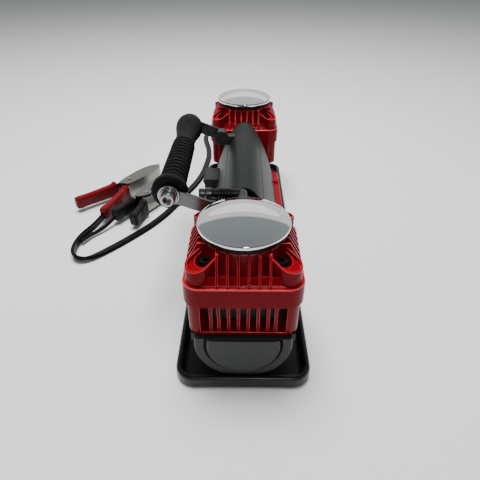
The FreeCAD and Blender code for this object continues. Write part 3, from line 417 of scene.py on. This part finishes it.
# How far in from the outside, at each height, from the underside over the rim to the tray's floor.
section = [(1.6, 0.0), (0.5, 0.4), (0.0, 1.6), (0.0, 7.2), (0.25, 8.4), (0.9, 9.4), (1.9, 9.95), (3.0, 9.9),
           (3.9, 9.3), (4.6, 8.2), (5.2, 6.2), (5.9, 4.9), (7.2, 4.15), (9.0, 4.0)]
loft(tray, [(rounded_rect(TRAY_X - i, TRAY_Y - i, TRAY_CORNER - i), z) for i, z in section])
piece("tray_moulding", tray, "black_gloss", "chassis", ("base_tray",), sharp=70)


def arch(half_x, apex, foot, steps, dips=(), depth=0.0):
    """A parabola from the right foot to the left one, with shallow lengthwise grooves at dips."""
    points = []
    for i in range(steps + 1):
        t = 1 - 2 * i / steps
        x, z = half_x * t, foot + (apex - foot) * (1 - t * t)
        sink = depth * sum(math.exp(-((x - d) / 0.55) ** 2) for d in dips)
        points.append((x - math.copysign(sink * 0.8, x), z - sink * 0.6))
    return points


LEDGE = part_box("motor_cradle")[1].z / MM
cover_low, cover_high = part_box("motor_cover")
shell = bmesh.new()
outside = arch(cover_high.x / MM, cover_high.z / MM, LEDGE, 160, (-15.5, 15.5), 0.45)
inside = arch(cover_high.x / MM - 2.6, cover_high.z / MM - 3.2, LEDGE, 60)
prism(shell, outside + inside[::-1], cover_low.y / MM, cover_high.y / MM, lengthways)
piece("motor_cover_shell", shell, "cover_black", "chassis", ("motor_cover",), rounded=0.5, least=60)

for end, way in ENDS:
    collar_low, collar_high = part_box("cover_end_" + end)
    outer_y = collar_low.y / MM if way < 0 else collar_high.y / MM
    inner_y = cover_low.y / MM if way < 0 else cover_high.y / MM
    collar = bmesh.new()
    body = 31.0, 98.0, outer_y, inner_y + way * 0.2
    rib = 31.6, 98.8, outer_y - way * 5, outer_y - way * 8
    for wide, tall, a, b in (body, rib):
        prism(collar, arch(wide, tall, LEDGE, 72), min(a, b), max(a, b), lengthways)
    if way < 0:
        pivot = Vector(frame_joint("handle_fold")["pos_m"]) / MM
        lathe(collar, [(7.2, outer_y), (7.2, outer_y + 4)],
              lambda x, z, h: Vector((pivot.x + x, h, pivot.z + z)))
        block(collar, pivot.x, 0, outer_y, outer_y + 4, pivot.z - 6.5, pivot.z + 2.4)
    piece("cover_collar_" + end, collar, "collar_black", "chassis", ("cover_end_" + end,), 0.6, least=50)

refined("motor_cradle", 0.8, slot="red_enamel")
refined("switch_housing", 0.7)
refined("switch_rocker", 0.35)
refined("handle_lug_rear", 0.6)
for end, way in ENDS:
    refined("crankcase_" + end, 0.5)
    refined("cylinder_" + end, 0.3, slot="cast_alloy")
    # The rear bracket is a steel strip like the front one, coloured black as painted shade.
    refined("handle_bracket_" + end, 0.4, slot="bracket_steel" if way < 0 else "collar_black")

# ---------------------------------------------------------------- handle
grip_low, grip_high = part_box("handle_grip")
GRIP_X, GRIP_Z = centre("handle_grip").x / MM, centre("handle_grip").z / MM
GRIP_NEAR, GRIP_FAR = grip_low.y / MM, grip_high.y / MM


def on_grip(x, z, h):
    return Vector((GRIP_X + x, h, GRIP_Z + z))


def rubber_grip():
    """Near flange, ribbed barrel, smooth neck and a bulb at the far end."""
    y = GRIP_NEAR
    profile = [(6.0, y), (11.6, y), (12.8, y + 0.5), (13.3, y + 1.6), (13.3, y + 5.6), (12.9, y + 6.8),
               (11.8, y + 7.6), (10.9, y + 9.0), (10.6, y + 11.4)]
    pitch, count = 5.9, 13
    for i in range(count):
        at = y + 12.6 + i * pitch
        for turn in range(10):
            share = turn / 10
            bulge = 1.25 * math.sqrt(max(0.0, math.sin(math.pi * share / 0.8))) if share < 0.8 else 0.0
            profile.append((9.2 + bulge - 0.035 * i, at + share * pitch))
    last = y + 12.6 + count * pitch
    neck = [(0, 9.0), (6, 8.9), (14, 9.1), (22, 9.8), (29, 10.9), (35, 12.0), (39, 12.6)]
    profile += [(r, last + d) for d, r in neck]
    rest = GRIP_FAR - last - 39
    profile += [(12.85, last + 39 + rest * 0.35), (12.6, last + 39 + rest * 0.6), (11.6, GRIP_FAR - 1.6),
                (9.6, GRIP_FAR - 0.3), (6.0, GRIP_FAR)]
    mesh = bmesh.new()
    lathe(mesh, profile, on_grip, steps=96)
    piece("grip_rubber", mesh, "rubber_black", "handle", ("handle_grip",), sharp=75)


def hexagon(radius, steps=48):
    """A hexagon's outline as steps points, so that it skins to a circle."""
    side = steps // 6
    corners = [(radius * math.cos(math.pi * k / 3), radius * math.sin(math.pi * k / 3)) for k in range(7)]
    return [(a[0] + (b[0] - a[0]) * i / side, a[1] + (b[1] - a[1]) * i / side)
            for a, b in zip(corners, corners[1:]) for i in range(side)]


def knurled(radius, depth, steps=48):
    """A circle whose every second point is depth lower."""
    return [((radius - depth * (i % 2)) * math.cos(2 * math.pi * i / steps),
             (radius - depth * (i % 2)) * math.sin(2 * math.pi * i / steps)) for i in range(steps)]


def handle_bolts():
    """At each end a flat washer, a split washer and a socket-head bolt."""
    mesh = bmesh.new()
    for node, way in (("handle_bracket_front", -1), ("handle_bracket_rear", 1)):
        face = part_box(node)[0 if way < 0 else 1].y / MM
        out = lambda x, z, h, f=face, w=way: Vector((GRIP_X + x, f + w * h, GRIP_Z + z))
        lathe(mesh, [(8.0, 0.02), (8.0, 1.0), (7.7, 1.3), (3, 1.3)], out)
        lathe(mesh, [(6.3, 1.4), (6.6, 1.8), (6.6, 2.4), (6.3, 2.8), (3, 2.8)], out)
        grip = knurled(5.6, 0.22)
        loft(mesh, [(circle(5.4), 2.9), (grip, 3.3), (grip, 6.9), (circle(5.35), 7.5), (circle(4.7), 8.0),
                    (circle(3.5), 8.0), (hexagon(3.05), 7.5), (hexagon(3.0), 4.0)], out)
    piece("handle_bolt_set", mesh, "bright_steel", "handle", ("handle_bolts",), sharp=40)


rubber_grip()
handle_bolts()

# ---------------------------------------------------------------- air outlet and strain relief
OUT_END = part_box("outlet_coupler")[1].x / MM
OUT_Y, OUT_Z = centre("outlet_coupler").y / MM, centre("outlet_coupler").z / MM
OUT_X = -1.0


def from_behind(x, z, h):
    """Along the elbow's rear leg."""
    return Vector((OUT_X + x, h, OUT_Z + z))


def across(y, z, h):
    """Along the elbow's outgoing leg."""
    return Vector((h, OUT_Y + y, OUT_Z + z))


def elbow():
    """A black moulded elbow with a ridged collar."""
    mesh = bmesh.new()
    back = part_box("outlet_elbow")[0].y / MM
    lathe(mesh, [(3.6, back), (3.6, OUT_Y)], from_behind, steps=40)
    nut = [(5.2, back + 11.5), (5.4, back + 12.2), (5.4, back + 15.5), (5.2, back + 16.2)]
    lathe(mesh, nut, from_behind, steps=6)
    ball = [(3.62 * math.sin(math.pi * i / 16), OUT_X + 3.62 * math.cos(math.pi * i / 16)) for i in range(17)]
    lathe(mesh, ball, across, steps=40)
    profile = [(3.6, OUT_X), (3.6, -6)]
    for i in range(5):
        x = -8 - 2.2 * i
        profile += [(3.6, x), (4.3, x - 0.4), (4.3, x - 1.6), (3.6, x - 2)]
    profile.append((3.5, OUT_END))
    lathe(mesh, profile, across, steps=40)
    piece("outlet_elbow_moulding", mesh, "collar_black", "chassis", ("outlet_elbow",), rounded=0.12, least=50)


def coupler():
    """A steel quick coupler with a knurled sleeve, open at its nose."""
    mesh = bmesh.new()
    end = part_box("outlet_coupler")[0].x / MM
    sleeve_ring = knurled(4.4, 0.2)
    loft(mesh, [(circle(3.4), OUT_END), (circle(4.2), OUT_END - 0.1), (sleeve_ring, OUT_END - 0.5),
                (sleeve_ring, OUT_END - 4.2), (circle(4.1), OUT_END - 4.6), (circle(3.6), OUT_END - 5.0),
                (circle(3.6), OUT_END - 6.0), (circle(3.9), OUT_END - 6.4), (circle(3.9), end + 0.5),
                (circle(3.5), end), (circle(2.7), end), (circle(2.6), end + 0.4), (circle(2.6), OUT_END - 1)],
         across)
    piece("outlet_coupler_sleeve", mesh, "bracket_steel", "chassis", ("outlet_coupler",), sharp=45)


def strain_relief():
    mesh = bmesh.new()
    low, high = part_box("cable_gland")
    mid = centre("cable_gland")
    behind = lambda x, z, h: Vector((mid.x / MM + x, h, mid.z / MM + z))
    start, end = low.y / MM, high.y / MM
    profile = [(6.4, start), (6.4, start + 2.0), (6.0, start + 2.5)]
    for i in range(7):
        r, y = 5.5 - 0.17 * i, start + 3.0 + 3.0 * i
        profile += [(r, y), (r, y + 1.9), (r - 0.9, y + 2.2), (r - 0.9, y + 2.8)]
    profile += [(4.4, end - 0.6), (4.2, end)]
    lathe(mesh, profile, behind, steps=48)
    return piece("strain_relief", mesh, "rubber_black", "chassis", ("cable_gland",), sharp=50)


elbow()
coupler()
relief = strain_relief()

# ---------------------------------------------------------------- battery clamps
# Each clamp points its jaws along heading; its handles spread apart and are as long as tip.
CLAMPS = {"red": {"heading": 58.0, "spread": 15.0, "tip": 68.0, "fixed": -1},
          "black": {"heading": 66.0, "spread": 10.0, "tip": 46.0, "fixed": 1}}


def clamp_place(colour):
    """Turns a clamp's own (u along the jaws, v across, height) into the row frame."""
    pivot = Vector(frame_joint(colour + "_clamp_open")["pos_m"]) / MM
    angle = math.radians(CLAMPS[colour]["heading"])
    c, s = math.cos(angle), math.sin(angle)
    return lambda u, v, h: Vector((pivot.x + c * u - s * v, pivot.y + s * u + c * v, pivot.z + h))


def sleeve(colour, side, node, body):
    """A moulded sleeve over a clamp's handle: flared at the pivot, waisted, swollen at its end."""
    place, tip = clamp_place(colour), CLAMPS[colour]["tip"]
    turn = -side * math.radians(CLAMPS[colour]["spread"])
    c, s = math.cos(turn), math.sin(turn)

    def on_handle(thick, tall, along):
        return place(c * along - s * thick, s * along + c * thick + side * 4.6, tall)

    mid = -(17 + tip) / 2
    loops = [(-15.5, 3.6, 8.0), (-16.2, 4.8, 9.6), (-18.2, 5.0, 9.9), (-19.8, 4.2, 8.8), (-24, 4.0, 8.0),
             (mid, 3.9, 7.4), (-tip + 12, 4.2, 6.9), (-tip + 5, 4.7, 7.1), (-tip + 1.6, 4.4, 6.8),
             (-tip + 0.4, 3.6, 6.0), (-tip, 2.6, 5.0)]
    mesh = bmesh.new()
    loft(mesh, [(rounded_rect(t, w, min(2.6, t * 0.7), 5), u) for u, t, w in loops], on_handle)
    for i in range(5):
        at = mid - 6 + 3.6 * i
        for face in (-1, 1):
            outline = rounded_rect(0.5, 5.4, 0.45, 3)
            prism(mesh, [(face * 3.9 + x, y) for x, y in outline], at, at + 1.4, on_handle)
    return piece(node + "_moulding", mesh, colour + "_plastic", body, (node,), sharp=60)


def coil_spring(colour):
    """The torsion spring round a clamp's pin."""
    place = clamp_place(colour)
    mesh = bmesh.new()
    turns, around, wire, radius = 6, 20, 0.85, 4.3
    rows = []
    for i in range(turns * around + 1):
        angle = 2 * math.pi * i / around
        middle = -5.2 + 10.4 * i / (turns * around)
        row = []
        for k in range(10):
            b = 2 * math.pi * k / 10
            r, h = radius + wire * math.cos(b), middle + wire * math.sin(b)
            row.append(mesh.verts.new(place(r * math.cos(angle), r * math.sin(angle), h) * MM))
        rows.append(row)
    for a, b in zip(rows, rows[1:]):
        for k in range(10):
            mesh.faces.new((a[k], a[(k + 1) % 10], b[(k + 1) % 10], b[k]))
    mesh.faces.new(rows[0][::-1])
    mesh.faces.new(rows[-1])
    return piece("clamp_spring_" + colour, mesh, "bright_steel", "chassis", sharp=80)


clamp_pieces = []
for colour, clamp in CLAMPS.items():
    sides = ("base", clamp["fixed"], "chassis"), ("lever", -clamp["fixed"], colour + "_lever")
    for part, side, body in sides:
        clamp_pieces.append(refined("%s_clamp_%s" % (colour, part), 0.5))
        sleeve(colour, side, "%s_sleeve_%s" % (colour, part), body)
springs = [coil_spring(colour) for colour in CLAMPS]
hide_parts("clamp_springs")
clamp_pieces += springs

# ---------------------------------------------------------------- power cable
# Control points of the lead in metres, each with its lean from flat (0) to on edge (90 degrees).
FEED = [(-0.0295, 0.116, 0.014, 0), (-0.030, 0.128, 0.0112, 0), (-0.0325, 0.145, 0.0108, 0),
        (-0.033, 0.162, 0.0165, 0), (-0.0315, 0.181, 0.0165, 0), (-0.0235, 0.198, 0.0085, 0),
        (-0.008, 0.208, 0.003, 0), (0.011, 0.2105, 0.0018, 0), (0.0255, 0.2185, 0.0018, 0),
        (0.034, 0.232, 0.0018, 0)]
LEAD = [(-0.0225, 0.400, 0.0088, 0), (-0.026, 0.373, 0.0080, 0), (-0.037, 0.348, 0.0045, 0),
        (-0.051, 0.326, 0.0018, 0), (-0.061, 0.302, 0.0018, 0), (-0.060, 0.275, 0.0018, 0),
        (-0.0535, 0.248, 0.0018, 0), (-0.050, 0.219, 0.0018, 0), (-0.0515, 0.190, 0.0018, 0),
        (-0.054, 0.162, 0.0018, 0), (-0.0595, 0.134, 0.0018, 0), (-0.069, 0.108, 0.0018, 0),
        (-0.078, 0.081, 0.0018, 0), (-0.088, 0.054, 0.0018, 0), (-0.1025, 0.027, 0.0018, 0),
        (-0.124, -0.002, 0.0018, 0), (-0.141, -0.022, 0.0021, 8), (-0.153, -0.033, 0.0032, 30),
        (-0.163, -0.034, 0.0042, 62), (-0.170, -0.026, 0.0046, 84), (-0.172, -0.012, 0.0048, 90),
        (-0.1695, 0.004, 0.0054, 90), (-0.1607, 0.0206, 0.0070, 90), (-0.156, 0.0365, 0.0090, 90),
        (-0.1532, 0.0425, 0.0098, 90)]
HANK_MIDDLE, HANK_RIGHT, HANK_LEFT, HANK_RADIUS = 0.006, 0.034, -0.022, 0.028
HANK_NEAR, HANK_FAR = 0.265, 0.410
CORE_OFF, CORE_R, WEB_X, WEB_Y = 0.0028, 0.0017, 0.0008, 0.00135


def hank_turns():
    """Two and a half turns of the put-away length, each lying on the one below."""
    points = []
    layers = [0.0018, 0.0053, 0.0088]

    def turn(centre_y, first, z0, z1):
        for i in range(7):
            angle = math.radians(first + 180 * i / 6)
            reach = HANK_RADIUS * (1.0 if i in (0, 6) else 1.035)
            points.append((HANK_MIDDLE + reach * math.cos(angle), centre_y + reach * math.sin(angle),
                           z0 + (z1 - z0) * i / 6, 0))

    for layer, z in enumerate(layers):
        drift = 0.0006 * (layer - 1)
        for y in (0.285, 0.325, 0.370):
            points.append((HANK_RIGHT + drift, y, z, 0))
        turn(HANK_FAR, 0, z, z)
        if layer < 2:
            for y in (0.385, 0.340, 0.295):
                points.append((HANK_LEFT - drift, y, z, 0))
            turn(HANK_NEAR, 180, z, layers[layer + 1])
    return points


def twin_profile():
    """The lead's section: two cores side by side in one flat jacket."""
    data = bpy.data.curves.new("twin_section", "CURVE")
    data.dimensions = "2D"
    outline = []
    for side in (1, -1):
        for i in range(13):
            angle = math.pi / 2 * side + side * -math.pi * i / 12
            outline.append((side * CORE_OFF + CORE_R * math.cos(angle), CORE_R * math.sin(angle)))
        outline.append((side * WEB_X, -side * WEB_Y))
        outline.append((-side * WEB_X, -side * WEB_Y))
    spline = data.splines.new("POLY")
    spline.points.add(len(outline) - 1)
    for point, (x, y) in zip(spline.points, outline):
        point.co = (x, y, 0, 1)
    spline.use_cyclic_u = True
    made = bpy.data.objects.new("twin_section", data)
    bpy.context.scene.collection.objects.link(made)
    made.hide_render = True
    return made


def free_cord(name, points, section=None, radius=0.0):
    """A smooth cord through the control points."""
    data = bpy.data.curves.new(name, "CURVE")
    data.dimensions = "3D"
    data.twist_mode = "Z_UP"
    data.resolution_u = 12
    data.use_fill_caps = True
    spline = data.splines.new("NURBS")
    spline.points.add(len(points) - 1)
    for point, (x, y, z, lean) in zip(spline.points, points):
        point.co = (x, y, z, 1)
        point.tilt = math.radians(lean)
    spline.order_u = 3
    spline.use_endpoint_u = True
    if section:
        data.bevel_mode = "OBJECT"
        data.bevel_object = section
    else:
        data.bevel_depth = radius
        data.bevel_resolution = 5
    made = bpy.data.objects.new(name, data)
    bpy.context.scene.collection.objects.link(made)
    data.materials.append(SLOTS["cable_black"])
    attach(made, "chassis")
    return made


main_cord = free_cord("power_cable", FEED + hank_turns() + LEAD, section=twin_profile())
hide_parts("power_cable_feed", "power_cable_hank", "power_cable_lead")
BLACK_CORE = [(-0.1677, -0.0055, 0.0045, 0), (-0.163, 0.006, 0.0035, 0), (-0.1548, 0.0156, 0.0034, 0),
              (-0.1482, 0.0248, 0.0055, 0), (-0.1429, 0.0337, 0.0085, 0), (-0.1415, 0.0365, 0.0095, 0)]
black_core = free_cord("black_core", BLACK_CORE, radius=0.002)
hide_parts("black_clamp_lead")


def hank_tie():
    """A band round the waist of each side of the hank."""
    mesh = bmesh.new()
    waist = (HANK_NEAR + HANK_FAR) / 2 / MM
    inner, outer = rounded_rect(5.6, 5.5, 2.0, 6), rounded_rect(6.2, 5.95, 2.5, 6)
    for x in (HANK_LEFT, HANK_RIGHT):
        place = lambda a, b, h, x=x: Vector((x / MM + a, waist + h, 6.0 + b))
        loft(mesh, [(inner, -2.2), (outer, -2.0), (outer, 2.0), (inner, 2.2), (inner, -2.2)],
             place, caps=(False, False))
    return piece("hank_tie", mesh, "black_plastic", "chassis")


tie = hank_tie()

# ---------------------------------------------------------------- stage
def floor():
    mesh = bmesh.new()
    bmesh.ops.create_grid(mesh, x_segments=1, y_segments=1, size=6)
    data = bpy.data.meshes.new("floor")
    mesh.to_mesh(data)
    mesh.free()
    paper = bpy.data.materials.new("floor_paper")
    paper.use_nodes = True
    shader = paper.node_tree.nodes["Principled BSDF"]
    shader.inputs["Base Color"].default_value = (0.58, 0.58, 0.58, 1)
    shader.inputs["Roughness"].default_value = 0.9
    shader.inputs["Specular IOR Level"].default_value = 0.1
    data.materials.append(paper)
    made = bpy.data.objects.new("floor", data)
    made.location.z = -0.0006
    bpy.context.scene.collection.objects.link(made)


def sky():
    """A pale studio: a bright far wall and a dimmer near side."""
    world = bpy.data.worlds.new("studio")
    bpy.context.scene.world = world
    world.use_nodes = True
    nodes, links = world.node_tree.nodes, world.node_tree.links
    place = nodes.new("ShaderNodeTexCoord")
    split = nodes.new("ShaderNodeSeparateXYZ")
    lifted = nodes.new("ShaderNodeMapRange")
    lifted.inputs["From Min"].default_value = -1
    ramp = nodes.new("ShaderNodeValToRGB")
    stops = ((0.0, (0.16, 0.16, 0.17)), (0.45, (0.22, 0.23, 0.235)), (0.855, (0.29, 0.315, 0.325)),
             (0.868, (0.80, 0.81, 0.78)), (1.0, (0.86, 0.86, 0.84)))
    elements = ramp.color_ramp.elements
    elements[0].position, elements[1].position = 0.0, 1.0
    for at, shade in stops[1:-1]:
        elements.new(at)
    for element, (at, shade) in zip(elements, stops):
        element.color = (*shade, 1)
    links.new(place.outputs["Generated"], split.inputs["Vector"])
    links.new(split.outputs["Y"], lifted.inputs["Value"])
    links.new(lifted.outputs["Result"], ramp.inputs["Fac"])
    links.new(ramp.outputs["Color"], nodes["Background"].inputs["Color"])


def lamp(name, at, aim, size, watts, mirrored=True):
    """A soft round light. One that isn't mirrored adds no glint of its own."""
    data = bpy.data.lights.new(name, "AREA")
    data.shape = "DISK"
    data.size = size
    data.energy = watts
    made = bpy.data.objects.new(name, data)
    made.location = at
    made.rotation_euler = (Vector(aim) - Vector(at)).to_track_quat("-Z", "Y").to_euler()
    made.visible_glossy = mirrored
    made.visible_camera = False
    bpy.context.scene.collection.objects.link(made)


def camera():
    data = bpy.data.cameras.new("camera")
    data.lens = 30.84
    data.sensor_width = 36
    data.clip_start = 0.01
    made = bpy.data.objects.new("camera", data)
    made.location = (-0.0005, -0.3501, 0.2520)
    pitch, yaw = math.radians(35.42), math.radians(-0.51)
    ahead = Vector((math.sin(yaw) * math.cos(pitch), math.cos(yaw) * math.cos(pitch), -math.sin(pitch)))
    made.rotation_euler = ahead.to_track_quat("-Z", "Y").to_euler()
    bpy.context.scene.collection.objects.link(made)
    bpy.context.scene.camera = made


floor()
sky()
lamp("overhead", (-0.10, 0.15, 1.35), (0, 0.08, 0.0), 0.8, 46, mirrored=False)
lamp("far_panel", (0, 0.30, 0.27), (0, 0.30, 0), 0.42, 0.18)
lamp("glint", (0.10, -1.1, 0.85), (0, -0.1, 0.1), 0.22, 3.0)
camera()
